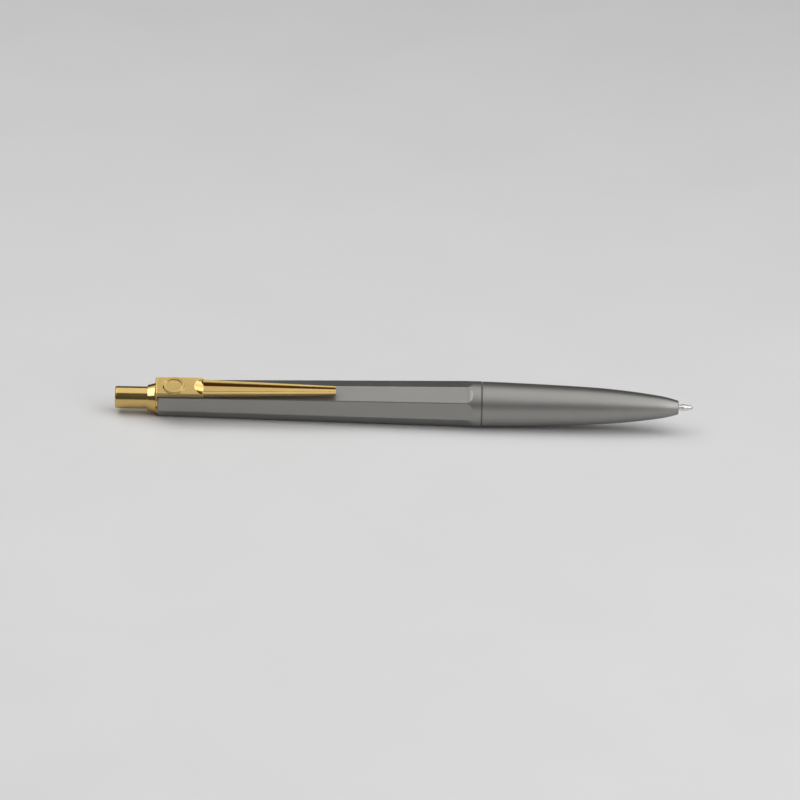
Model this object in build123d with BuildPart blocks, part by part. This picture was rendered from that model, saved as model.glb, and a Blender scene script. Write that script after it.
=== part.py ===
"""Push-button ballpoint pen, tip out.

The pen lies along X with its point towards +X. The origin is on the pen's axis, in the seam where the
front section meets the barrel. The barrel rests on one of its facets, and the clip stands on the facet
that faces up and forward. All sizes are millimetres.
"""

import os
from math import asin, atan2, cos, hypot, pi, radians, sin, sqrt

from build123d import *

os.makedirs("parts", exist_ok=True)

# Clearances between pieces that fit together
fit_clearance = 0.05
running_clearance = 0.05
cam_clearance = 0.10
thread_clearance = 0.10
seam_gap = 0.05

# Push button and the bushing round it
button_radius = 2.6
button_wall = 0.6
button_end_wall = 1.9
button_visible_length = 7.5
button_edge_fillet = 0.35
bushing_wall = 0.5
bushing_head_length = 2.0
bushing_rear_land = 0.3
bushing_head_overhang = 0.3
bushing_stem_length = 5.0

# Barrel
barrel_length = 75.0
rear_wall = 0.7
bore_relief = 0.4
facet_count = 8
corner_land = 0.05
collar_corner = 0.052
collar_wall = 1.0
collar_length = 2.0
facet_runout = 1.6
seam_chamfer = 0.15
rear_chamfer = 0.2

# Front section
front_length = 45.6
front_step = 0.04
front_start_slope = 0.022
belly_from_nose = 21.6
belly_drop = 0.82
nose_round_length = 4.6
nose_round_rise = 1.12
nose_wall = 0.31
nose_chamfer = 0.1
nose_hole_length = 3.6
seat_depth = 7.1
thread_relief = 0.45

# Thread bush in the collar
bush_depth = 8.0
bush_radius = 4.2
thread_step = 0.25
thread_length = 6.5
thread_runout = 0.5

# Click mechanism
press_travel = 1.0
retract_travel = 4.5
sleeve_length = 15.4
sleeve_wall = 0.3
rib_count = 4
rib_height = 0.6
rib_width = 1.4
rib_root = 0.1
rib_length = 9.9
rib_slant = 0.8
plunger_fin_length = 3.7
rotor_fin_length = 2.5
crown_teeth = 8
crown_depth = 0.8
crown_gap = 0.15
rotor_pin_radius = 1.25
rotor_pin_length = 3.2
rotor_length = 9.3
socket_depth = 4.0

# Refill
refill_radius = 1.75
refill_wall = 0.5
plug_tail_radius = 1.5
plug_collar_length = 1.0
plug_stem_length = 4.0
vent_radius = 0.3
grease_length = 3.0
ink_length = 36.0
nose_stem_length = 4.0
nose_body_radius = 1.45
shoulder_length = 1.5
ink_channel_radius = 0.6

# Point of the refill
tip_out = 3.3
tip_radius = 1.15
tip_tail_radius = 0.95
tip_tail_length = 3.6
undercut_radius = 0.66
undercut_length = 1.6
neck_radius = 0.77
neck_start = 0.65
neck_length = 0.6
tip_bore_radius = 0.25
ball_radius = 0.4
ball_clearance = 0.02
ball_lip = 0.12
lip_wall = 0.05

# Return spring
wire_radius = 0.2
wire_flat_count = 6
coil_radius = 1.85
spring_turns = 8
spring_length = 16.5
spring_end_gap = 0.1
chamber_clearance = 0.35

# Clip, on a facet counted from the top one towards the front
clip_facet_count = 1
clip_sheet = 0.45
clip_ring_wall = 0.55
clip_stand = 3.5
plate_width = 4.3
plate_length = 11.1
plate_wall_depth = 1.7
plate_bend_radius = 0.4
plate_edge_fillet = 0.12
boss_length = 5.0
boss_side_margin = 0.15
boss_height = 0.36
boss_chamfer = 0.15
boss_rim = 0.5
boss_recess = 0.2
boss_from_rear = 4.25
blade_length = 30.6
blade_shoulder = 0.27
blade_overlap = 0.1
blade_tip_width = 1.95
blade_root_drop = 0.35
blade_tip_drop = 0.25
blade_root_depth = 1.5
blade_tip_depth = 1.15
blade_root_rim = 0.72
blade_tip_rim = 0.42
groove_root_depth = 0.85
groove_tip_depth = 0.4
groove_wall_lean = 0.58
scoop_length = 2.1
scoop_radius = 3.3
blade_edge_fillet = 0.1
grip_radius = 0.75
grip_from_tip = 2.6

# Radii that follow from the fits, from the button outwards
button_bore = button_radius - button_wall
bushing_hole = button_radius + running_clearance
bushing_radius = bushing_hole + bushing_wall
barrel_bore = bushing_radius + fit_clearance
relief_bore = barrel_bore + bore_relief
facet_angle = 360 / facet_count
half_facet = radians(facet_angle / 2)
rear_facet_height = barrel_bore + rear_wall
bush_bore = bush_radius + fit_clearance
collar_radius = bush_bore + collar_wall
front_facet_height = (collar_radius + collar_corner) * cos(half_facet)
front_radius = collar_radius - front_step
sleeve_radius = barrel_bore - fit_clearance
sleeve_bore = sleeve_radius - sleeve_wall
fin_radius = sleeve_bore - cam_clearance
rib_inner_radius = sleeve_bore - rib_height
cam_radius = rib_inner_radius - cam_clearance - fit_clearance
slot_half_angle = pi / rib_count - asin(rib_width / 2 / rib_inner_radius)
fin_width = 2 * (rib_inner_radius * sin(slot_half_angle) - cam_clearance)
fin_top = sqrt(fin_radius**2 - (fin_width / 2) ** 2)
plunger_bore = rotor_pin_radius + cam_clearance
socket_radius = plug_tail_radius + fit_clearance
refill_bore = refill_radius - refill_wall
chamber_radius = coil_radius + wire_radius + chamber_clearance
guide_radius = nose_body_radius + cam_clearance
nose_hole_radius = tip_radius + cam_clearance
nose_radius = nose_hole_radius + nose_wall
shoulder_radius = coil_radius + wire_radius + fit_clearance
thread_radius = bush_radius - thread_step
thread_bore = thread_radius + thread_clearance
relief_radius = thread_bore - thread_relief

# Stations along the pen's axis, from the rear end to the point
barrel_rear = -barrel_length
tab_rear = barrel_rear - clip_sheet
bushing_rear = tab_rear - bushing_head_length
button_rear = bushing_rear - button_visible_length
bushing_front = barrel_rear + bushing_stem_length
sleeve_rear = bushing_front + fit_clearance
sleeve_front = sleeve_rear + sleeve_length
plunger_fin_rear = bushing_front + retract_travel + cam_clearance
plunger_front = plunger_fin_rear + plunger_fin_length
plunger_shoulder = bushing_front - press_travel - fit_clearance
rib_front = sleeve_rear + rib_length
rotor_fin_rear = rib_front + cam_clearance
rotor_rear = plunger_front + crown_gap
rotor_front = rotor_rear + rotor_length
plug_rear = rotor_front - socket_depth + fit_clearance
nose_end = front_length
seat_station = nose_end - seat_depth
shoulder_front = seat_station - spring_length
chamber_rear = shoulder_front - retract_travel - chamber_clearance
tube_front = shoulder_front - shoulder_length
tube_rear = rotor_front + plug_collar_length + fit_clearance
point_end = nose_end + tip_out
ball_centre = point_end - ball_radius
tip_rear = seat_station - fit_clearance
runout_start = -collar_length - facet_runout
button_floor = button_rear + button_end_wall


def facet_height(station):
    """Distance of a barrel facet from the axis at a station along the pen."""
    share = (station - barrel_rear) / (runout_start - barrel_rear)
    return rear_facet_height + share * (front_facet_height - rear_facet_height)


def corner_height(station):
    """Distance of the narrow land on a barrel corner from the axis at a station along the pen."""
    return facet_height(station) / cos(half_facet) - corner_land


def turned_outline(*points):
    """Closed outline of (station, radius) points, in the plane through the pen's axis."""
    with BuildSketch(Plane.XZ) as outline:
        with BuildLine():
            Polyline(*points, close=True)
        make_face()
    return outline.sketch


def radial_block(points, inner, outer):
    """Flat block with an outline of (station, sideways) points, standing from one radius to another."""
    with BuildPart() as block:
        with BuildSketch(Plane.XY.offset(inner)):
            with BuildLine():
                Polyline(*points, close=True)
            make_face()
        extrude(amount=outer - inner)
    return block.part


def around_axis(shape, count, first_angle=0.0):
    """Copies of a shape, spaced evenly round the pen's axis."""
    return [shape.rotate(Axis.X, first_angle + i * 360 / count) for i in range(count)]


def keep(builder, name):
    """Name a finished piece and write it to its own file."""
    builder.part.label = name
    export_step(builder.part, f"parts/{name}.step")


# Barrel: a round bar with facets milled along it that run out below the collar, and a land on each corner
cut_rear = barrel_rear - rear_wall
cut_top = collar_radius + collar_wall
with BuildPart() as facet_cut:
    with BuildSketch(Plane.XZ):
        with BuildLine():
            flat = Line((cut_rear, facet_height(cut_rear)), (runout_start, front_facet_height))
            runout = TangentArc(flat @ 1, (-collar_length, collar_radius), tangent=flat % 1)
            Polyline(runout @ 1, (-collar_length, cut_top), (cut_rear, cut_top), flat @ 0)
        make_face()
    extrude(amount=collar_radius, both=True)

with BuildPart() as corner_cut:
    with BuildSketch(Plane.XZ):
        with BuildLine():
            Polyline(
                (cut_rear, corner_height(cut_rear)),
                (runout_start, corner_height(runout_start)),
                (runout_start, cut_top),
                (cut_rear, cut_top),
                close=True,
            )
        make_face()
    extrude(amount=collar_radius, both=True)

with BuildPart() as barrel:
    rim = turned_outline(
        (barrel_rear, barrel_bore),
        (barrel_rear, collar_radius),
        (-seam_chamfer, collar_radius),
        (0, collar_radius - seam_chamfer),
        (0, bush_bore),
        (-bush_depth, bush_bore),
        (-bush_depth, relief_bore),
        (sleeve_front, relief_bore),
        (sleeve_front, barrel_bore),
    )
    revolve(rim, axis=Axis.X)
    add(around_axis(facet_cut.part, facet_count), mode=Mode.SUBTRACT)
    add(around_axis(corner_cut.part, facet_count, facet_angle / 2), mode=Mode.SUBTRACT)
    chamfer(barrel.faces().sort_by(Axis.X)[0].outer_wire().edges(), rear_chamfer)
keep(barrel, "barrel")

# Thread bush: pressed into the collar, with a nipple for the front section
with BuildPart() as thread_bush:
    bush_inner = shoulder_radius + chamber_clearance
    bush_wall = turned_outline(
        (-bush_depth + fit_clearance, bush_inner),
        (-bush_depth + fit_clearance, bush_radius),
        (-seam_chamfer, bush_radius),
        (-seam_chamfer, thread_radius),
        (thread_length - thread_runout, thread_radius),
        (thread_length, thread_radius - thread_runout),
        (thread_length, bush_inner),
    )
    revolve(bush_wall, axis=Axis.X)
keep(thread_bush, "thread_bush")

# Front section: a bullet-shaped shell with the thread bore, the spring chamber and the point's guide
with BuildPart() as front_section:
    with BuildSketch(Plane.XZ) as front_outline:
        with BuildLine():
            rear_edge = Polyline(
                (seam_gap, thread_bore),
                (seam_gap, front_radius - seam_chamfer),
                (seam_gap + seam_chamfer, front_radius),
            )
            belly = (nose_end - belly_from_nose, front_radius - belly_drop)
            nose_round = (nose_end - nose_round_length, nose_radius + nose_round_rise)
            back = TangentArc(rear_edge @ 1, belly, tangent=(1, -front_start_slope))
            taper = TangentArc(belly, nose_round, tangent=back % 1)
            nose = TangentArc(nose_round, (nose_end, nose_radius), tangent=taper % 1)
            thread_end = thread_length + thread_runout
            Polyline(
                nose @ 1,
                (nose_end, nose_hole_radius),
                (nose_end - nose_hole_length, nose_hole_radius),
                (nose_end - nose_hole_length, guide_radius),
                (seat_station, guide_radius),
                (seat_station, chamber_radius),
                (chamber_rear, chamber_radius),
                (chamber_rear - relief_radius + chamber_radius, relief_radius),
                (thread_end + thread_relief, relief_radius),
                (thread_end, thread_bore),
                rear_edge @ 0,
            )
        make_face()
        nose_rim = front_outline.vertices().group_by(Axis.X)[-1].sort_by(Axis.Y)[-1]
        chamfer(nose_rim, nose_chamfer)
    revolve(axis=Axis.X)
keep(front_section, "front_section")

# Top bushing: a cone-shaped head that clamps the clip's tab, and a stem in the barrel
with BuildPart() as top_bushing:
    cone_rear = bushing_hole + bushing_rear_land
    cone_front = bushing_radius + bushing_head_overhang
    bushing_wall_outline = turned_outline(
        (bushing_rear, bushing_hole),
        (bushing_rear, cone_rear),
        (tab_rear - bushing_rear_land, cone_front),
        (tab_rear, cone_front),
        (tab_rear, bushing_radius),
        (bushing_front, bushing_radius),
        (bushing_front, bushing_hole),
    )
    revolve(bushing_wall_outline, axis=Axis.X)
keep(top_bushing, "top_bushing")

# Push button: a hollow cap that slides in the bushing
with BuildPart() as push_button:
    button_wall_outline = turned_outline(
        (button_rear, 0),
        (button_rear, button_radius),
        (plunger_shoulder, button_radius),
        (plunger_shoulder, button_bore),
        (button_floor, button_bore),
        (button_floor, 0),
    )
    revolve(button_wall_outline, axis=Axis.X)
    outer_edge = push_button.edges().filter_by(GeomType.CIRCLE).group_by(Axis.X)[0]
    fillet(outer_edge, button_edge_fillet)
keep(push_button, "push_button")

# Button plunger: its stem stands in the cap, its fins run in the sleeve's slots, its crown turns the rotor
crown_half_width = pi * cam_radius / crown_teeth
slot_angle = 180 / rib_count
pin_hole_floor = plunger_front - rotor_pin_length - crown_gap - cam_clearance
plunger_fin = radial_block(
    [
        (plunger_fin_rear, -fin_width / 2),
        (plunger_fin_rear, fin_width / 2),
        (plunger_front - crown_depth, fin_width / 2),
        (plunger_front - crown_depth, -fin_width / 2),
    ],
    plunger_bore + fit_clearance,
    fin_top,
)
plunger_notch = radial_block(
    [
        (plunger_front + crown_gap, -crown_half_width),
        (plunger_front + crown_gap, crown_half_width),
        (plunger_front - crown_depth, 0),
    ],
    0,
    fin_radius,
)
with BuildPart() as button_plunger:
    plunger_outline = turned_outline(
        (button_floor + fit_clearance, 0),
        (button_floor + fit_clearance, button_bore - fit_clearance),
        (plunger_shoulder + fit_clearance, button_bore - fit_clearance),
        (plunger_shoulder + fit_clearance, cam_radius),
        (plunger_front, cam_radius),
        (plunger_front, plunger_bore),
        (pin_hole_floor, plunger_bore),
        (pin_hole_floor, 0),
    )
    revolve(plunger_outline, axis=Axis.X)
    add(around_axis(plunger_fin, rib_count, slot_angle))
    add(around_axis(plunger_notch, crown_teeth), mode=Mode.SUBTRACT)
keep(button_plunger, "button_plunger")

# Cam sleeve: a tube with ribs whose slanted ends hold the rotor's fins when the point is out
rib = radial_block(
    [
        (sleeve_rear, -rib_width / 2),
        (rib_front, -rib_width / 2),
        (rib_front - rib_slant, rib_width / 2),
        (sleeve_rear, rib_width / 2),
    ],
    rib_inner_radius,
    sleeve_bore + rib_root,
)
with BuildPart() as cam_sleeve:
    sleeve_wall_outline = turned_outline(
        (sleeve_rear, sleeve_bore),
        (sleeve_rear, sleeve_radius),
        (sleeve_front, sleeve_radius),
        (sleeve_front, sleeve_bore),
    )
    revolve(sleeve_wall_outline, axis=Axis.X)
    add(around_axis(rib, rib_count))
keep(cam_sleeve, "cam_sleeve")

# Cam rotor: slant-ended fins, a crown that faces the plunger, and a socket for the refill
rotor_notch = radial_block(
    [
        (rotor_rear - crown_gap / 2, -crown_half_width),
        (rotor_rear - crown_gap / 2, crown_half_width),
        (rotor_rear + crown_depth, 0),
    ],
    rotor_pin_radius,
    fin_radius,
)
rotor_fin = radial_block(
    [
        (rotor_fin_rear, -fin_width / 2),
        (rotor_fin_rear + rotor_fin_length, -fin_width / 2),
        (rotor_fin_rear + rotor_fin_length, fin_width / 2),
        (rotor_fin_rear + rib_slant, fin_width / 2),
    ],
    rotor_pin_radius,
    fin_top,
)
with BuildPart() as cam_rotor:
    rotor_outline = turned_outline(
        (rotor_rear - rotor_pin_length, 0),
        (rotor_rear - rotor_pin_length, rotor_pin_radius),
        (rotor_rear, rotor_pin_radius),
        (rotor_rear, cam_radius),
        (rotor_front, cam_radius),
        (rotor_front, socket_radius),
        (rotor_front - socket_depth, socket_radius),
        (rotor_front - socket_depth, 0),
    )
    revolve(rotor_outline, axis=Axis.X)
    add(around_axis(rotor_notch, crown_teeth), mode=Mode.SUBTRACT)
    add(around_axis(rotor_fin, rib_count, slot_angle))
keep(cam_rotor, "cam_rotor")

# Refill plug: its tail stands in the rotor's socket and its stem closes the tube
with BuildPart() as refill_plug:
    plug_outline = turned_outline(
        (plug_rear, vent_radius),
        (plug_rear, plug_tail_radius),
        (tube_rear - plug_collar_length, plug_tail_radius),
        (tube_rear - plug_collar_length, refill_radius),
        (tube_rear, refill_radius),
        (tube_rear, refill_bore - fit_clearance),
        (tube_rear + plug_stem_length, refill_bore - fit_clearance),
        (tube_rear + plug_stem_length, vent_radius),
    )
    revolve(plug_outline, axis=Axis.X)
keep(refill_plug, "refill_plug")

# Refill tube
with BuildPart() as refill_tube:
    tube_wall = turned_outline(
        (tube_rear, refill_bore),
        (tube_rear, refill_radius),
        (tube_front, refill_radius),
        (tube_front, refill_bore),
    )
    revolve(tube_wall, axis=Axis.X)
keep(refill_tube, "refill_tube")

# Ink in the tube, and the grease that follows it
ink_front = tube_front - nose_stem_length - fit_clearance
ink_rear = ink_front - ink_length
with BuildPart() as ink_column:
    with BuildSketch(Plane.YZ.offset(ink_rear)):
        Circle(refill_bore - fit_clearance)
    extrude(amount=ink_length)
keep(ink_column, "ink_column")

with BuildPart() as grease_follower:
    with BuildSketch(Plane.YZ.offset(ink_rear - grease_length)):
        Circle(refill_bore - fit_clearance)
    extrude(amount=grease_length - fit_clearance)
keep(grease_follower, "grease_follower")

# Refill nose: a stem in the tube, the shoulder that the spring pushes on, and the holder of the point
with BuildPart() as refill_nose:
    holder_front = tip_rear - fit_clearance
    holder_floor = holder_front - tip_tail_length
    holder_bore = tip_tail_radius + fit_clearance
    nose_outline = turned_outline(
        (tube_front - nose_stem_length, ink_channel_radius),
        (tube_front - nose_stem_length, refill_bore - fit_clearance),
        (tube_front, refill_bore - fit_clearance),
        (tube_front, shoulder_radius),
        (shoulder_front, shoulder_radius),
        (shoulder_front, nose_body_radius),
        (holder_front, nose_body_radius),
        (holder_front, holder_bore),
        (holder_floor, holder_bore),
        (holder_floor, ink_channel_radius),
    )
    revolve(nose_outline, axis=Axis.X)
keep(refill_nose, "refill_nose")

# Refill tip: the turned point, stepped and coned, with the ink bore and the ball's socket
with BuildPart() as refill_tip:
    socket = ball_radius + ball_clearance
    lip_end = ball_centre + ball_lip
    lip_radius = socket + lip_wall
    neck_rear = nose_end + neck_start
    undercut_rear = neck_rear - undercut_length
    tip_outline = turned_outline(
        (tip_rear - tip_tail_length, tip_bore_radius),
        (tip_rear - tip_tail_length, tip_tail_radius),
        (tip_rear, tip_tail_radius),
        (tip_rear, tip_radius),
        (undercut_rear, tip_radius),
        (undercut_rear + tip_radius - undercut_radius, undercut_radius),
        (neck_rear, undercut_radius),
        (neck_rear, neck_radius),
        (neck_rear + neck_length, neck_radius),
        (lip_end, lip_radius),
        (lip_end, tip_bore_radius),
    )
    revolve(tip_outline, axis=Axis.X)
    with Locations((ball_centre, 0, 0)):
        Sphere(socket, mode=Mode.SUBTRACT)
keep(refill_tip, "refill_tip")

# Writing ball
with BuildPart() as writing_ball:
    with Locations((ball_centre, 0, 0)):
        Sphere(ball_radius)
keep(writing_ball, "writing_ball")

# Return spring: one wire, drawn with flats, wound between the front section's seat and the refill's shoulder
coil_rear = shoulder_front + spring_end_gap + wire_radius
coil_front = seat_station - spring_end_gap - wire_radius
coil_rise = (coil_front - coil_rear) / (2 * pi * spring_turns)
quarter_turns = 4 * spring_turns


def coil_point(turn):
    """Point of the wire's centre line after an angle, in radians."""
    return Vector(coil_rear + coil_rise * turn, coil_radius * cos(turn), coil_radius * sin(turn))


def coil_direction(turn):
    """Direction of the wire after an angle, in radians."""
    return Vector(coil_rise, -coil_radius * sin(turn), coil_radius * cos(turn)).normalized()


def meeting_point(start, end):
    """Where the two arcs meet that leave one point of the wire and arrive at another along it."""
    gap = coil_point(end) - coil_point(start)
    leave = coil_direction(start)
    arrive = coil_direction(end)
    both = leave + arrive
    spread = 2 * (1 - leave.dot(arrive))
    pull = gap.dot(both)
    reach = (sqrt(pull**2 + spread * gap.dot(gap)) - pull) / spread
    return (coil_point(start) + coil_point(end) + (leave - arrive) * reach) / 2


with BuildPart() as return_spring:
    with BuildLine():
        for quarter in range(quarter_turns):
            start = quarter * pi / 2
            end = start + pi / 2
            meet = meeting_point(start, end)
            leaving = TangentArc(coil_point(start), meet, tangent=coil_direction(start))
            TangentArc(meet, coil_point(end), tangent=leaving % 1)
    with BuildSketch(Plane(coil_point(0), z_dir=coil_direction(0))):
        RegularPolygon(wire_radius, wire_flat_count)
    sweep()
keep(return_spring, "return_spring")

turn_point_count = 24
wire_points = [coil_point(2 * pi * i / turn_point_count) for i in range(spring_turns * turn_point_count + 1)]
least_pitch = min(
    (wire_points[j] - wire_points[i]).length
    for i in range(len(wire_points))
    for j in range(i + turn_point_count // 2, len(wire_points))
)
print("return_spring least gap to itself", round(least_pitch - 2 * wire_radius, 3))

# Clip: a tab under the bushing, a folded head plate with an oval boss, and a grooved blade with a grip
clip_angle = radians(clip_facet_count * facet_angle)
clip_up = Vector(0, -sin(clip_angle), cos(clip_angle))
clip_side = Vector(0, cos(clip_angle), sin(clip_angle))
clip_height_axis = Axis((0, 0, 0), clip_up)
plate_height = rear_facet_height + clip_stand
plate_front = tab_rear + plate_length
blade_root_width = plate_width - 2 * blade_shoulder
blade_root_height = plate_height - blade_root_drop
blade_tip_height = blade_root_height - blade_tip_drop
boss_width = plate_width - 2 * boss_side_margin
blade_front = plate_front + blade_length
blade_start = plate_front - blade_overlap
groove_floor = blade_root_height - groove_root_depth
scoop_drop = plate_height - groove_floor
scoop_slope = atan2(scoop_drop, scoop_length)
scoop_run = hypot(scoop_drop, scoop_length)
grip_station = blade_front - grip_from_tip


def clip_section(station):
    """Plane across the clip at a station, with its sketch's Y axis pointing away from the pen."""
    return Plane((station, 0, 0), x_dir=clip_side, z_dir=(1, 0, 0))


def clip_level(station, height):
    """Plane above the clip's facet, with its sketch's X axis along the pen."""
    return Plane(Vector(station, 0, 0) + clip_up * height, x_dir=(1, 0, 0), z_dir=clip_up)


def blade_section(station, width, height, depth, rim, groove):
    """Cross-section of the blade: two rims, a trapezoid groove between them, and a hollow underside."""
    groove_half = width / 2 - rim
    floor_half = groove_half - groove * groove_wall_lean
    hollow_half = width / 2 - clip_sheet
    hollow_top = height - groove - clip_sheet
    with BuildSketch(clip_section(station)) as section:
        with BuildLine():
            Polyline(
                (-width / 2, height - depth),
                (-width / 2, height),
                (-groove_half, height),
                (-floor_half, height - groove),
                (floor_half, height - groove),
                (groove_half, height),
                (width / 2, height),
                (width / 2, height - depth),
                (hollow_half, height - depth),
                (hollow_half, hollow_top),
                (-hollow_half, hollow_top),
                (-hollow_half, height - depth),
                close=True,
            )
        make_face()
        rim_corners = section.vertices().group_by(Axis.Y)[-1].sort_by(Axis.X)
        fillet([rim_corners[0], rim_corners[-1]], blade_edge_fillet)
    return section.sketch


root_section = blade_section(
    blade_start, blade_root_width, blade_root_height, blade_root_depth, blade_root_rim, groove_root_depth
)
tip_section = blade_section(
    blade_front, blade_tip_width, blade_tip_height, blade_tip_depth, blade_tip_rim, groove_tip_depth
)
with BuildPart() as blade:
    loft([root_section, tip_section], ruled=True)

with BuildPart() as clip:
    with BuildSketch(clip_section(tab_rear)):
        with Locations((0, plate_height - plate_wall_depth / 2)):
            Rectangle(plate_width, plate_wall_depth)
    extrude(amount=plate_length)
    fillet(clip.edges().group_by(clip_height_axis)[-1].sort_by(Axis.X)[0], plate_bend_radius)
    fillet(clip.edges().group_by(clip_height_axis)[-1].filter_by(Axis.X), plate_edge_fillet)
    with BuildSketch(clip_section(tab_rear + clip_sheet)):
        with Locations((0, plate_height - clip_sheet - plate_wall_depth / 2)):
            Rectangle(plate_width - 2 * clip_sheet, plate_wall_depth)
    extrude(amount=plate_length - scoop_length - 2 * clip_sheet, mode=Mode.SUBTRACT)
    with BuildSketch(clip_section(tab_rear)):
        Circle(bushing_radius + fit_clearance + clip_ring_wall)
        with Locations((0, (plate_height - clip_sheet) / 2)):
            Rectangle(plate_width, plate_height - clip_sheet)
        Circle(bushing_radius + fit_clearance, mode=Mode.SUBTRACT)
    extrude(amount=clip_sheet)
    with BuildSketch(clip_level(tab_rear + boss_from_rear, plate_height - clip_sheet / 2)):
        Ellipse(boss_length / 2, boss_width / 2)
    extrude(amount=boss_height + clip_sheet / 2)
    chamfer(clip.edges().group_by(clip_height_axis)[-1], boss_chamfer)
    with BuildSketch(clip_level(tab_rear + boss_from_rear, plate_height + boss_height)):
        Ellipse(boss_length / 2 - boss_rim, boss_width / 2 - boss_rim)
    extrude(amount=-boss_recess, mode=Mode.SUBTRACT)
    scoop_line = Vector(cos(scoop_slope), 0, 0) - clip_up * sin(scoop_slope)
    scoop_rise = Vector(sin(scoop_slope), 0, 0) + clip_up * cos(scoop_slope)
    scoop_start = Vector(plate_front - 2 * scoop_length, 0, 0) + clip_up * (plate_height + scoop_drop)
    with BuildSketch(Plane(scoop_start + scoop_rise * scoop_radius, x_dir=clip_side, z_dir=scoop_line)):
        Circle(scoop_radius)
    extrude(amount=2 * scoop_run, mode=Mode.SUBTRACT)
    add(blade.part)
    grip_foot = facet_height(grip_station) + fit_clearance + grip_radius
    grip_top = blade_tip_height - groove_tip_depth - clip_sheet / 2
    with BuildSketch(clip_level(grip_station, grip_foot)):
        Circle(grip_radius)
    extrude(amount=grip_top - grip_foot)
    with Locations(clip_level(grip_station, grip_foot)):
        Sphere(grip_radius)
keep(clip, "clip")

for piece in (barrel, clip, front_section, return_spring):
    print(piece.part.label, round(piece.part.volume, 2), piece.part.is_valid)
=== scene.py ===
# %% [markdown]
# # A push-button ballpoint pen, dressed for its picture
#
# The pen lies on a pale table with its point out. Its solids come ready made, in metres, with the pen's
# axis along X and the point towards +X. This lesson gives each piece its finish, winds the thread that the
# solids leave plain and a spring of round wire, and sets up the table, the lamps and the camera.

# %% Load the solids
from math import atan2, cos, degrees, pi, radians, sin

import bpy
import numpy as np
from mathutils import Matrix, Vector


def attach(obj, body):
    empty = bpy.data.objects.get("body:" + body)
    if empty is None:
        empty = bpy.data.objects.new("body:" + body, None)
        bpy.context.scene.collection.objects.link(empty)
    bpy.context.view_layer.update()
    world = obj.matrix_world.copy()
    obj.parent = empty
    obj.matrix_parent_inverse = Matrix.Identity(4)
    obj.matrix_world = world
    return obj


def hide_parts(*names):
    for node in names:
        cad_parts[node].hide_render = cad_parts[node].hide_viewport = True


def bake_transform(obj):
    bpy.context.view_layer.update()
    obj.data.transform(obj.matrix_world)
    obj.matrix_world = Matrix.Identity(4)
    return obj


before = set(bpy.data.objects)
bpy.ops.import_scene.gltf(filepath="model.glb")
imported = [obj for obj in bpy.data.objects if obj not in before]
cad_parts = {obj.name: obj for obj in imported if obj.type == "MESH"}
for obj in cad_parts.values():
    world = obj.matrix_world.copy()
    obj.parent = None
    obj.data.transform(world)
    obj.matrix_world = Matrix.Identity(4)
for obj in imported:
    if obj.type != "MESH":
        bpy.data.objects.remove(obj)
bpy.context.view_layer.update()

# %% [markdown]
# ## Writing materials as arithmetic
#
# A finish is a recipe of small numbers that change over the surface: a little more roughness here, a
# lighter scratch there. Wiring Math nodes by hand hides that recipe, so a small class wraps an output
# socket and lets Python's own operators add the nodes. A second class owns one material and has a single
# method for every other kind of node.


# %% Numbers that live in a material
class Amount:
    """A number in a material: an output socket whose arithmetic adds Math nodes."""

    def __init__(self, finish, socket):
        self.finish = finish
        self.socket = socket

    def math(self, operation, *others):
        return self.finish.math(operation, self, *others)

    def __add__(self, other):
        return self.math("ADD", other)

    def __sub__(self, other):
        return self.math("SUBTRACT", other)

    def __rsub__(self, other):
        return self.finish.math("SUBTRACT", other, self)

    def __mul__(self, other):
        return self.math("MULTIPLY", other)

    def __pow__(self, other):
        return self.math("POWER", other)

    def __rpow__(self, other):
        return self.finish.math("POWER", other, self)

    __radd__ = __add__
    __rmul__ = __mul__


# %% One material
BEVEL_SAMPLES = 8
FIRST_COLOUR = 6
SECOND_COLOUR = 7


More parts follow.
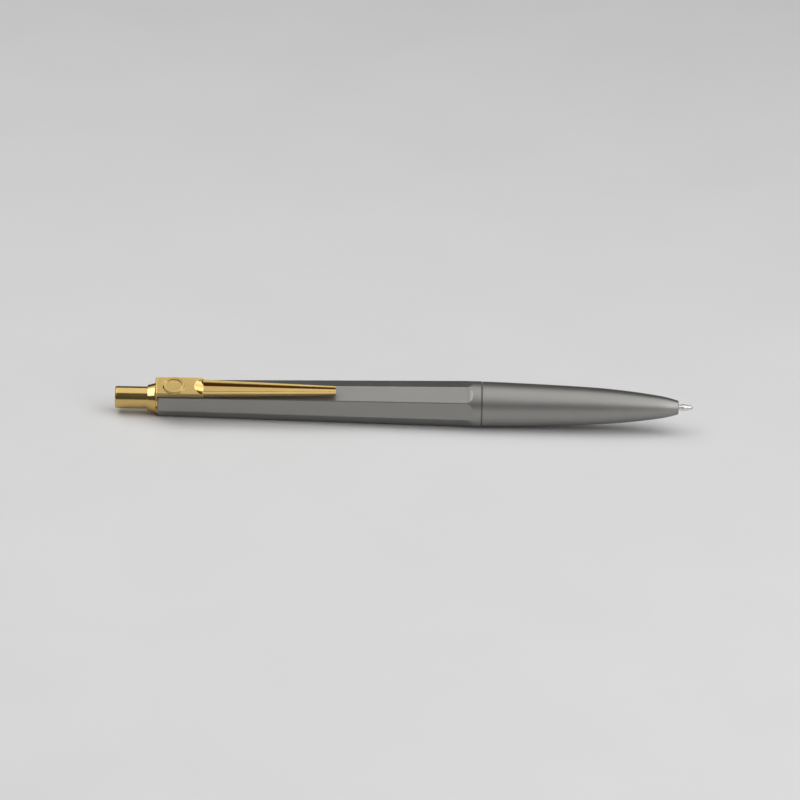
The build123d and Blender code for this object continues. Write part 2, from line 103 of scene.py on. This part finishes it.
class Finish:
    """One material: its nodes, and the shader that they feed."""

    def __init__(self, name):
        self.material = bpy.data.materials.new(name)
        self.material.use_nodes = True
        self.tree = self.material.node_tree
        self.shader = self.tree.nodes["Principled BSDF"]
        self.place = self.node("ShaderNodeTexCoord")["Object"]

    def node(self, kind, settings=None, sockets=None):
        """Add a node, set its settings first, then its sockets, and return its outputs by name."""
        node = self.tree.nodes.new(kind)
        for key, value in (settings or {}).items():
            setattr(node, key, value)
        for key, value in (sockets or {}).items():
            self.feed(node.inputs[key], value)
        return {output.name: Amount(self, output) for output in node.outputs if output.enabled}

    def feed(self, socket, value):
        """Link a socket to an amount, or set it to a plain value."""
        if isinstance(value, Amount):
            self.tree.links.new(value.socket, socket)
        else:
            socket.default_value = value

    def math(self, operation, *values):
        return self.node("ShaderNodeMath", {"operation": operation}, dict(enumerate(values)))["Value"]

    def axis(self):
        """The three coordinates of a point on the piece, in metres."""
        parts = self.node("ShaderNodeSeparateXYZ", None, {"Vector": self.place})
        return parts["X"], parts["Y"], parts["Z"]

    def stretched(self, x, y, z):
        """The point with each coordinate multiplied, so that a pattern runs long or short that way."""
        sockets = {0: self.place, 1: (x, y, z)}
        return self.node("ShaderNodeVectorMath", {"operation": "MULTIPLY"}, sockets)["Vector"]

    def noise(self, grains_per_metre, detail, vector=None):
        """Cloudy noise from 0 to 1 with grains of a stated fineness."""
        sockets = {"Vector": vector or self.place, "Scale": grains_per_metre, "Detail": detail}
        return self.node("ShaderNodeTexNoise", None, sockets)["Fac"]

    def mix(self, share, first, second):
        """A colour between two colours, by the two sockets that a Mix node has for colours."""
        sockets = {"Factor": share, FIRST_COLOUR: first, SECOND_COLOUR: second}
        return self.node("ShaderNodeMix", {"data_type": "RGBA"}, sockets)["Result"]

    def rounded(self, radius):
        """A surface direction that rounds sharp edges off by a stated radius in metres."""
        return self.node("ShaderNodeBevel", {"samples": BEVEL_SAMPLES}, {"Radius": radius})["Normal"]

    def bump(self, height, depth, strength, base=None):
        """A surface direction from a height pattern of a stated depth in metres, on a base direction."""
        sockets = {"Height": height, "Distance": depth, "Strength": strength}
        if base:
            sockets["Normal"] = base
        return self.node("ShaderNodeBump", None, sockets)["Normal"]

    def set(self, **sockets):
        """Feed the shader; a socket's name has an underscore for each space."""
        for key, value in sockets.items():
            self.feed(self.shader.inputs[key.replace("_", " ")], value)
        return self.material


def dress(material, *nodes):
    """Give solids a finish through their own material slots."""
    for node in nodes:
        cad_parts[node].material_slots[0].material = material
    print(material.name, "on", ", ".join(nodes))


# %% [markdown]
# ## Satin gunmetal
#
# The barrel and the front section have one coating: a grey metal blasted with fine beads, so a softbox
# shows in it as a broad soft band. Bead blasting leaves tiny dents, which are a bump of fine noise. The
# coating wears first on the barrel's corners, where fingers polish it, so those get a lighter, smoother
# line. A corner is found from the angle round the axis: the cosine of eight times that angle is -1 there.

# %% The coating of the barrel and the front section
GUNMETAL = (0.318, 0.313, 0.300, 1)
GUNMETAL_DARK = (0.285, 0.280, 0.268, 1)
GUNMETAL_WORN = (0.41, 0.40, 0.385, 1)
SATIN_ROUGHNESS = 0.36
FACETS = 8
CORNER_SHARPNESS = 90
BEADS_PER_METRE = 14000
BEAD_DEPTH = 0.000004
PATCHES_PER_METRE = 140
SCUFFS_PER_METRE = 700


def satin_gunmetal(name, corner_wear):
    """Blasted grey metal; corner_wear is how much lighter the barrel's corners are."""
    finish = Finish(name)
    _, across, up = finish.axis()
    turn = finish.math("ARCTAN2", across, up) * FACETS
    corner = finish.math("MAXIMUM", turn.math("COSINE") * -1, 0) ** CORNER_SHARPNESS
    beads = finish.noise(BEADS_PER_METRE, detail=3.0)
    patches = finish.noise(PATCHES_PER_METRE, detail=3.0)
    worn = corner * finish.noise(SCUFFS_PER_METRE, detail=4.0) * corner_wear
    coating = finish.mix(patches, GUNMETAL_DARK, GUNMETAL)
    return finish.set(
        Base_Color=finish.mix(worn, coating, GUNMETAL_WORN),
        Metallic=1.0,
        Roughness=SATIN_ROUGHNESS + beads * 0.06 + patches * 0.04 - worn * 0.08,
        Normal=finish.bump(beads, BEAD_DEPTH, strength=0.35),
    )


dress(satin_gunmetal("satin_gunmetal_barrel", corner_wear=1.0), "barrel")
dress(satin_gunmetal("satin_gunmetal_front", corner_wear=0.0), "front_section")

# %% [markdown]
# ## Polished gold plating
#
# The clip is pressed from sheet and polished along its length, so its finest lines run along X. The button
# and its bushing are turned, so theirs run round the axis and change only along X. Both are one recipe:
# noise stretched along the way the polishing went. The wheel rounds every edge a little. Both steep walls of
# the clip's groove get painted shade, a dark brown, and a duller surface. Those are found from the surface's
# direction: they lean sideways, but not as far as the clip's outer walls.

# %% The plating of the clip, the bushing and the button
GOLD = (0.68, 0.49, 0.205, 1)
GOLD_DEEP = (0.60, 0.415, 0.14, 1)
# The painted shade of the groove's walls.
GOLD_GROOVE_SHADE = (0.19, 0.095, 0.012, 1)
GOLD_ROUGHNESS = 0.07
EDGE_POLISH = 0.00018
HAIRLINE_DEPTH = 0.000003
TONES_PER_METRE = 260
SMUDGES_PER_METRE = 480
POLISHED_ALONG = (150, 9000, 9000)
POLISHED_ROUND = (16000, 60, 60)
CLIP_SIDE = (0, 0.7071, 0.7071)
WALL_LEAN = 0.86
WALL_SHARPNESS = 12


def gold_plating(name, line_stretch, wall_shade_and_dullness):
    """Polished gold with hairlines along the direction that line_stretch leaves long.

    The last argument is how much painted shade (a dark brown) and dullness the groove's walls get,
    whose lean to the clip's side is WALL_LEAN."""
    finish = Finish(name)
    hairlines = finish.noise(1.0, detail=4.0, vector=finish.stretched(*line_stretch))
    tone = finish.noise(TONES_PER_METRE, detail=3.0)
    smudge = finish.noise(SMUDGES_PER_METRE, detail=2.0)
    sockets = {0: finish.node("ShaderNodeTexCoord")["Normal"], 1: CLIP_SIDE}
    lean = finish.node("ShaderNodeVectorMath", {"operation": "DOT_PRODUCT"}, sockets)["Value"]
    off_wall = (lean.math("ABSOLUTE") - WALL_LEAN).math("ABSOLUTE")
    # Painted shade: both steep walls of the groove are darkened to a dark brown and made rougher.
    darker = finish.math("MAXIMUM", 1 - off_wall * WALL_SHARPNESS, 0) * wall_shade_and_dullness
    polished = finish.mix(tone * 0.7 + hairlines * 0.3, GOLD_DEEP, GOLD)
    return finish.set(
        Base_Color=finish.mix(darker, polished, GOLD_GROOVE_SHADE),
        Metallic=1.0,
        Roughness=GOLD_ROUGHNESS + hairlines * 0.08 + smudge * 0.05 + darker * 0.25,
        Normal=finish.bump(hairlines, HAIRLINE_DEPTH, strength=0.25, base=finish.rounded(EDGE_POLISH)),
    )


dress(gold_plating("gold_plating_pressed", POLISHED_ALONG, wall_shade_and_dullness=1.0), "clip")
dress(gold_plating("gold_plating_turned", POLISHED_ROUND, wall_shade_and_dullness=0.0), "top_bushing", "push_button")

# %% [markdown]
# ## Inner metals
#
# The thread bush, the refill's tube and nose, the point, the ball and the spring are bare metal. Turned
# ones have rings, and drawn ones have lines along the pull. One function makes them all from a bright and a
# dull colour, a roughness and the way the tool went.

# %% Bare metals
BRASS = ((0.78, 0.55, 0.22, 1), (0.58, 0.38, 0.13, 1))
TUBE_BRASS = ((0.72, 0.52, 0.24, 1), (0.55, 0.37, 0.14, 1))
NOSE_BRASS = ((0.74, 0.53, 0.23, 1), (0.56, 0.38, 0.14, 1))
POINT_STEEL = ((0.82, 0.81, 0.79, 1), (0.62, 0.61, 0.60, 1))
BALL_METAL = ((0.52, 0.52, 0.54, 1), (0.36, 0.36, 0.38, 1))
SPRING_STEEL = ((0.60, 0.60, 0.61, 1), (0.42, 0.42, 0.44, 1))
RINGS = (12000, 80, 80)
DRAWN = (200, 14000, 14000)
BALL_GRAIN = (3000, 3000, 3000)
WIRE_GRAIN = (2500, 2500, 2500)
STAINS_PER_METRE = 350
TOOL_LINE_DEPTH = 0.000005


def bare_metal(name, colours, roughness, line_stretch):
    """Machined metal: tool lines as noise stretched along the way the tool or the die went."""
    bright, darker = colours
    finish = Finish(name)
    lines = finish.noise(1.0, detail=3.0, vector=finish.stretched(*line_stretch))
    stain = finish.noise(STAINS_PER_METRE, detail=4.0)
    return finish.set(
        Base_Color=finish.mix(stain * 0.6 + lines * 0.4, darker, bright),
        Metallic=1.0,
        Roughness=roughness + lines * 0.12 + stain * 0.06,
        Normal=finish.bump(lines, TOOL_LINE_DEPTH, strength=0.4),
    )


brass = bare_metal("turned_brass", BRASS, roughness=0.22, line_stretch=RINGS)
spring_wire = bare_metal("spring_wire", SPRING_STEEL, roughness=0.24, line_stretch=WIRE_GRAIN)
dress(brass, "thread_bush")
dress(bare_metal("drawn_brass", TUBE_BRASS, roughness=0.26, line_stretch=DRAWN), "refill_tube")
dress(bare_metal("turned_refill_brass", NOSE_BRASS, roughness=0.24, line_stretch=RINGS), "refill_nose")
dress(bare_metal("turned_steel", POINT_STEEL, roughness=0.16, line_stretch=RINGS), "refill_tip")
dress(bare_metal("hard_ball", BALL_METAL, roughness=0.10, line_stretch=BALL_GRAIN), "writing_ball")

# %% [markdown]
# ## Moulded plastic, ink and grease
#
# The click mechanism is moulded plastic, whose mould leaves a faint grain and flow marks. The ink is a
# thick paste and the grease behind it is clear and pale. Both fill the tube, so they only show if it is
# opened.

# %% Plastics and pastes
WHITE = ((0.80, 0.80, 0.77, 1), (0.70, 0.70, 0.66, 1))
BLACK = ((0.035, 0.035, 0.038, 1), (0.022, 0.022, 0.025, 1))
INK = ((0.010, 0.022, 0.20, 1), (0.006, 0.012, 0.13, 1))
GREASE = ((0.78, 0.72, 0.52, 1), (0.70, 0.63, 0.42, 1))
MOULD_GRAIN = 0.00001
PASTE_GRAIN = 0.000004
GRAINS_PER_METRE = 9000
FLOW_MARKS = (120, 700, 700)


def moulded(name, colours, roughness, grain_depth):
    """Plastic or paste with faint flow marks along the piece and a fine grain."""
    colour, shade = colours
    finish = Finish(name)
    flow = finish.noise(1.0, detail=3.0, vector=finish.stretched(*FLOW_MARKS))
    grain = finish.noise(GRAINS_PER_METRE, detail=2.0)
    return finish.set(
        Base_Color=finish.mix(flow, shade, colour),
        Roughness=roughness + grain * 0.15 + flow * 0.08,
        Normal=finish.bump(grain, grain_depth, strength=0.5),
    )


white_plastic = moulded("white_plastic", WHITE, roughness=0.34, grain_depth=MOULD_GRAIN)
black_plastic = moulded("black_plastic", BLACK, roughness=0.36, grain_depth=MOULD_GRAIN)
dress(white_plastic, "button_plunger", "cam_sleeve")
dress(black_plastic, "cam_rotor", "refill_plug")
dress(moulded("ink_paste", INK, roughness=0.12, grain_depth=PASTE_GRAIN), "ink_column")
dress(moulded("follower_grease", GREASE, roughness=0.14, grain_depth=PASTE_GRAIN), "grease_follower")

# %% [markdown]
# ## The thread on the nipple
#
# The front section screws on a brass nipple that the solids leave as a plain cylinder. When the front is
# unscrewed the thread shows, so a ridge is wound round the nipple: a trapezoid profile carried along a
# helix, one turn for each millimetre. The ridge sinks into the brass at both ends, which closes it.

# %% Thread ridge
MM = 0.001
THREAD_PITCH = 1.0 * MM
THREAD_RADIUS = 3.95 * MM
RIDGE_RISE = 0.075 * MM
RIDGE_SUNK = 0.06 * MM
RIDGE_FOOT = 0.40 * MM
RIDGE_CREST = 0.10 * MM
THREAD_FROM = 0.6 * MM
THREAD_TURNS = 5
FADE_TURNS = 0.5
STEPS_PER_TURN = 96


def smooth_step(share):
    """0 up to a share of 0, 1 from a share of 1, and 3 share^2 - 2 share^3 between them."""
    share = np.clip(share, 0, 1)
    return share * share * (3 - 2 * share)


def grid_mesh(name, points, capped=False):
    """A mesh from a grid of points (rows, columns, 3), closed round its columns.

    It has a flat face at each end if it is capped."""
    rows, columns, _ = points.shape
    index = np.arange(rows * columns).reshape(rows, columns)
    beside = np.roll(index, -1, axis=1)
    quads = np.stack([index[:-1], index[1:], beside[1:], beside[:-1]], axis=-1).reshape(-1, 4)
    caps = [index[0].tolist(), index[-1, ::-1].tolist()] if capped else []
    mesh = bpy.data.meshes.new(name)
    mesh.from_pydata(points.reshape(-1, 3), [], quads.tolist() + caps)
    mesh.polygons.foreach_set("use_smooth", np.arange(len(mesh.polygons)) < len(quads))
    mesh.validate()
    piece = bpy.data.objects.new(name, mesh)
    bpy.context.collection.objects.link(piece)
    return piece


def thread_ridge_points():
    """Station = start + pitch * turn + profile's offset; radius = nipple + profile's height * fade.

    The profile is a trapezoid whose foot is below the nipple's surface. The fade goes from 0 to 1 over the
    first half turn and back over the last, by a smooth step."""
    turn = np.linspace(0, THREAD_TURNS, THREAD_TURNS * STEPS_PER_TURN + 1)[:, None]
    fade = smooth_step(np.minimum(turn, THREAD_TURNS - turn) / FADE_TURNS)
    offset = np.array([-RIDGE_FOOT, -RIDGE_CREST, RIDGE_CREST, RIDGE_FOOT])[None, :]
    rise = np.array([-RIDGE_SUNK, RIDGE_RISE, RIDGE_RISE, -RIDGE_SUNK])[None, :]
    station = THREAD_FROM + THREAD_PITCH * turn + offset * fade
    radius = THREAD_RADIUS - RIDGE_SUNK + (rise + RIDGE_SUNK) * fade
    angle = 2 * pi * turn
    return np.stack([station, radius * np.cos(angle), radius * np.sin(angle)], axis=-1)


thread_ridge = grid_mesh("thread_ridge", thread_ridge_points())
thread_ridge.data.materials.append(brass)
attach(thread_ridge, "barrel")
print("thread ridge:", len(thread_ridge.data.polygons), "faces")

# %% [markdown]
# ## The return spring
#
# The solids' spring has a wire with flats and even turns. A real one is round wire, and its end turns lie
# close together, so that they sit flat. So a circle is carried along a helix whose pitch is small at both
# ends. The refill's shoulder pushes the rear end and the other end stays. The solids' spring is hidden, and
# this one stands in its place.

# %% Return spring
WIRE_RADIUS = 0.2 * MM
COIL_RADIUS = 1.85 * MM
COIL_REAR = 22.3 * MM
COIL_FRONT = 38.2 * MM
COIL_TURNS = 8
CLOSE_TURNS = 0.8
OPENING_TURNS = 0.5
END_PITCH = 0.45 * MM
COIL_STEPS_PER_TURN = 48
WIRE_SIDES = 12


def spring_points():
    """Centre = (running sum of the pitch, coil radius * cos(angle), coil radius * sin(angle)).

    The wire's circle lies square to the helix there. The pitch goes by a smooth step from a close one in
    the end turns to an open one between them."""
    turn = np.linspace(0, COIL_TURNS, COIL_TURNS * COIL_STEPS_PER_TURN + 1)
    opened = smooth_step((np.minimum(turn, COIL_TURNS - turn) - CLOSE_TURNS) / OPENING_TURNS)
    opened_turns = opened.mean() * COIL_TURNS
    open_pitch = (COIL_FRONT - COIL_REAR - END_PITCH * (COIL_TURNS - opened_turns)) / opened_turns
    pitch = END_PITCH + (open_pitch - END_PITCH) * opened
    rise = np.cumsum((pitch[1:] + pitch[:-1]) / 2) * (turn[1] - turn[0])
    station = COIL_REAR + np.concatenate([[0], rise / rise[-1] * (COIL_FRONT - COIL_REAR)])
    angle = 2 * pi * turn
    outward = np.stack([np.zeros_like(angle), np.cos(angle), np.sin(angle)], axis=-1)
    helix = np.stack([pitch / (2 * pi), -COIL_RADIUS * np.sin(angle), COIL_RADIUS * np.cos(angle)], axis=-1)
    helix /= np.linalg.norm(helix, axis=-1, keepdims=True)
    sideways = np.cross(outward, helix)
    centre = COIL_RADIUS * outward + np.stack([station, 0 * station, 0 * station], axis=-1)
    around = np.linspace(0, 2 * pi, WIRE_SIDES, endpoint=False)[None, :, None]
    circle = np.cos(around) * outward[:, None] + np.sin(around) * sideways[:, None]
    return centre[:, None] + WIRE_RADIUS * circle


spring_coil = grid_mesh("spring_coil", spring_points(), capped=True)
spring_coil.data.materials.append(spring_wire)
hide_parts("return_spring")
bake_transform(spring_coil)
print("spring:", len(spring_coil.data.polygons), "faces")

# %% [markdown]
# ## The table
#
# The pen rests on two places: the round collar and the rear end of the bottom facet, which is nearer to the
# axis. So the table isn't parallel to the axis. Two low points of the barrel give its slope, and the table
# is a pale sheet with a very faint mottle.

# %% Where the table lies
REAR_BAND = 0.5 * MM
MICROMETRE_DIGITS = 6

barrel_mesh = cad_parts["barrel"].data
barrel_points = np.empty(len(barrel_mesh.vertices) * 3)
barrel_mesh.vertices.foreach_get("co", barrel_points)
barrel_points = barrel_points.reshape(-1, 3)
lowest_first = np.lexsort((barrel_points[:, 0], barrel_points[:, 2].round(MICROMETRE_DIGITS)))
collar_low = barrel_points[lowest_first[0]]
rear_points = barrel_points[barrel_points[:, 0] < barrel_points[:, 0].min() + REAR_BAND]
rear_low = rear_points[rear_points[:, 2].argmin()]
along = Vector((collar_low[0] - rear_low[0], 0, collar_low[2] - rear_low[2])).normalized()
table_up = Vector((-along.z, 0, along.x))
back = table_up.cross(along)
contact = Vector((collar_low[0], 0, collar_low[2]))
print("table slope in degrees:", round(degrees(atan2(along.z, along.x)), 3))

# %% Table top
TABLE_REACH = 1.6
PALE = (0.76, 0.76, 0.76, 1)
PALE_SHADE = (0.73, 0.73, 0.73, 1)
TABLE_ROUGHNESS = 0.55
MOTTLE_PER_METRE = 30

corners = np.array([[-1, -1], [1, -1], [1, 1], [-1, 1]]) * TABLE_REACH
table_points = np.array(contact) + corners[:, :1] * np.array(along) + corners[:, 1:] * np.array(back)
table_mesh = bpy.data.meshes.new("table_top")
table_mesh.from_pydata(table_points, [], [(0, 1, 2, 3)])
table_top = bpy.data.objects.new("table_top", table_mesh)
bpy.context.collection.objects.link(table_top)
table_finish = Finish("pale_table")
mottle = table_finish.noise(MOTTLE_PER_METRE, detail=3.0)
table_colour = table_finish.mix(mottle, PALE_SHADE, PALE)
table_roughness = TABLE_ROUGHNESS + mottle * 0.1
table_mesh.materials.append(table_finish.set(Base_Color=table_colour, Roughness=table_roughness))
print("table:", 2 * TABLE_REACH, "m wide")

# %% [markdown]
# ## Light
#
# A bright band on a round piece tells where the light is: the surface there leans halfway from the camera to
# the lamp. On the button the photograph's band leans back by 22 to 57 degrees, and on the front section by 6
# to 48, so two softboxes hang over the pen, and the one over the front section reaches further forward. The
# front grows brighter towards the point, and the clip's scoop is bright all over, so one panel adds light
# there from above and one from low in front. The bushing's cone is nearly white, and a cone mirrors a line
# of places over the button end, so a narrow strip runs along that line. A weak even sky fills the rest.

# %% How a lamp is hung
SOFTBOX_RADIANCE = 1.05
POINT_END_RADIANCE = 1.0
LOW_RADIANCE = 1.8
BUTTON_END_RADIANCE = 2.8
SKY = 0.10


def table_place(forward, behind, above):
    """A place from metres along the pen, behind it and above the table."""
    return along * forward + back * behind + table_up * above


def soft_panel(name, radiance, place, run, length, depth, shift=0.0):
    """A soft lamp that faces the pen from a place, with its length along the run.

    It is then shifted along the pen."""
    lamp = bpy.data.lights.new(name, "AREA")
    lamp.shape = "RECTANGLE"
    lamp.size = length
    lamp.size_y = depth
    lamp.energy = radiance * pi * length * depth
    stand = bpy.data.objects.new(name, lamp)
    facing = place.normalized()
    long_way = (run - facing * run.dot(facing)).normalized()
    lamp_turn = Matrix((long_way, facing.cross(long_way), facing)).transposed()
    stand.matrix_world = Matrix.Translation(contact + place + along * shift) @ lamp_turn.to_4x4()
    bpy.context.collection.objects.link(stand)
    print(name, "power:", round(lamp.energy, 2), "W")


# %% Softboxes, end lamps and sky
rear_place = table_place(forward=0, behind=0.121, above=0.60)
front_place = table_place(forward=0, behind=-0.14, above=0.605)
point_end_place = table_place(forward=0.42, behind=-0.10, above=0.50)
low_place = table_place(forward=0.60, behind=-0.60, above=0.34)
low_run = table_place(forward=0.70, behind=0.70, above=0)
strip_place = table_place(forward=-0.34, behind=-0.13, above=0.51)
strip_run = table_place(forward=0.22, behind=0.80, above=0)

soft_panel("rear_softbox", SOFTBOX_RADIANCE, rear_place, along, length=0.70, depth=0.855, shift=-0.41)
soft_panel("front_softbox", SOFTBOX_RADIANCE, front_place, along, length=0.80, depth=1.08, shift=0.34)
soft_panel("point_end_panel", POINT_END_RADIANCE, point_end_place, back, length=0.75, depth=0.35)
soft_panel("low_panel", LOW_RADIANCE, low_place, low_run, length=0.60, depth=0.50)
soft_panel(
    "button_end_strip", BUTTON_END_RADIANCE, strip_place, strip_run, length=0.72, depth=0.12, shift=-0.07
)

world = bpy.data.worlds.new("even_sky")
world.use_nodes = True
world.node_tree.nodes["Background"].inputs["Color"].default_value = (SKY, SKY, SKY, 1)
bpy.context.scene.world = world

# %% [markdown]
# ## Camera
#
# The camera looks down on the pen by about 22 degrees and square to its axis, through a long lens, as in a
# product picture. It is turned a little about its own line of sight, because the pen's axis drops towards
# the point in the photograph. The seam in front of the collar has its pixel from there, and so has the
# number of pixels that a millimetre takes.

# %% Camera
LOOK_DOWN = radians(22.5)
AXIS_DROP = radians(1.08)
CAMERA_DISTANCE = 2.0
IMAGE_PIXELS = 800
SEAM_PIXEL = (481.7, 403.9)
PIXELS_PER_MM = 4.316
SENSOR = 36.0

toward = table_up * sin(LOOK_DOWN) - back * cos(LOOK_DOWN)
pen_axis = Vector((1, 0, 0))
level = (pen_axis - toward * pen_axis.dot(toward)).normalized()
image_right = level * cos(AXIS_DROP) + toward.cross(level) * sin(AXIS_DROP)
image_up = toward.cross(image_right)
metre_per_pixel = MM / PIXELS_PER_MM
target = (
    image_right * ((IMAGE_PIXELS / 2 - SEAM_PIXEL[0]) * metre_per_pixel)
    + image_up * ((SEAM_PIXEL[1] - IMAGE_PIXELS / 2) * metre_per_pixel)
)
camera = bpy.data.cameras.new("camera")
camera.sensor_width = SENSOR
camera.lens = SENSOR * CAMERA_DISTANCE / (IMAGE_PIXELS * metre_per_pixel)
camera_stand = bpy.data.objects.new("camera", camera)
camera_turn = Matrix((image_right, image_up, toward)).transposed()
camera_stand.matrix_world = Matrix.Translation(target + toward * CAMERA_DISTANCE) @ camera_turn.to_4x4()
bpy.context.collection.objects.link(camera_stand)
bpy.context.scene.camera = camera_stand
print("lens:", round(camera.lens, 1), "mm")

# %% [markdown]
# ## Colours
#
# Colours go to the picture as they are.

# %% Finish
bpy.context.scene.view_settings.view_transform = "Standard"
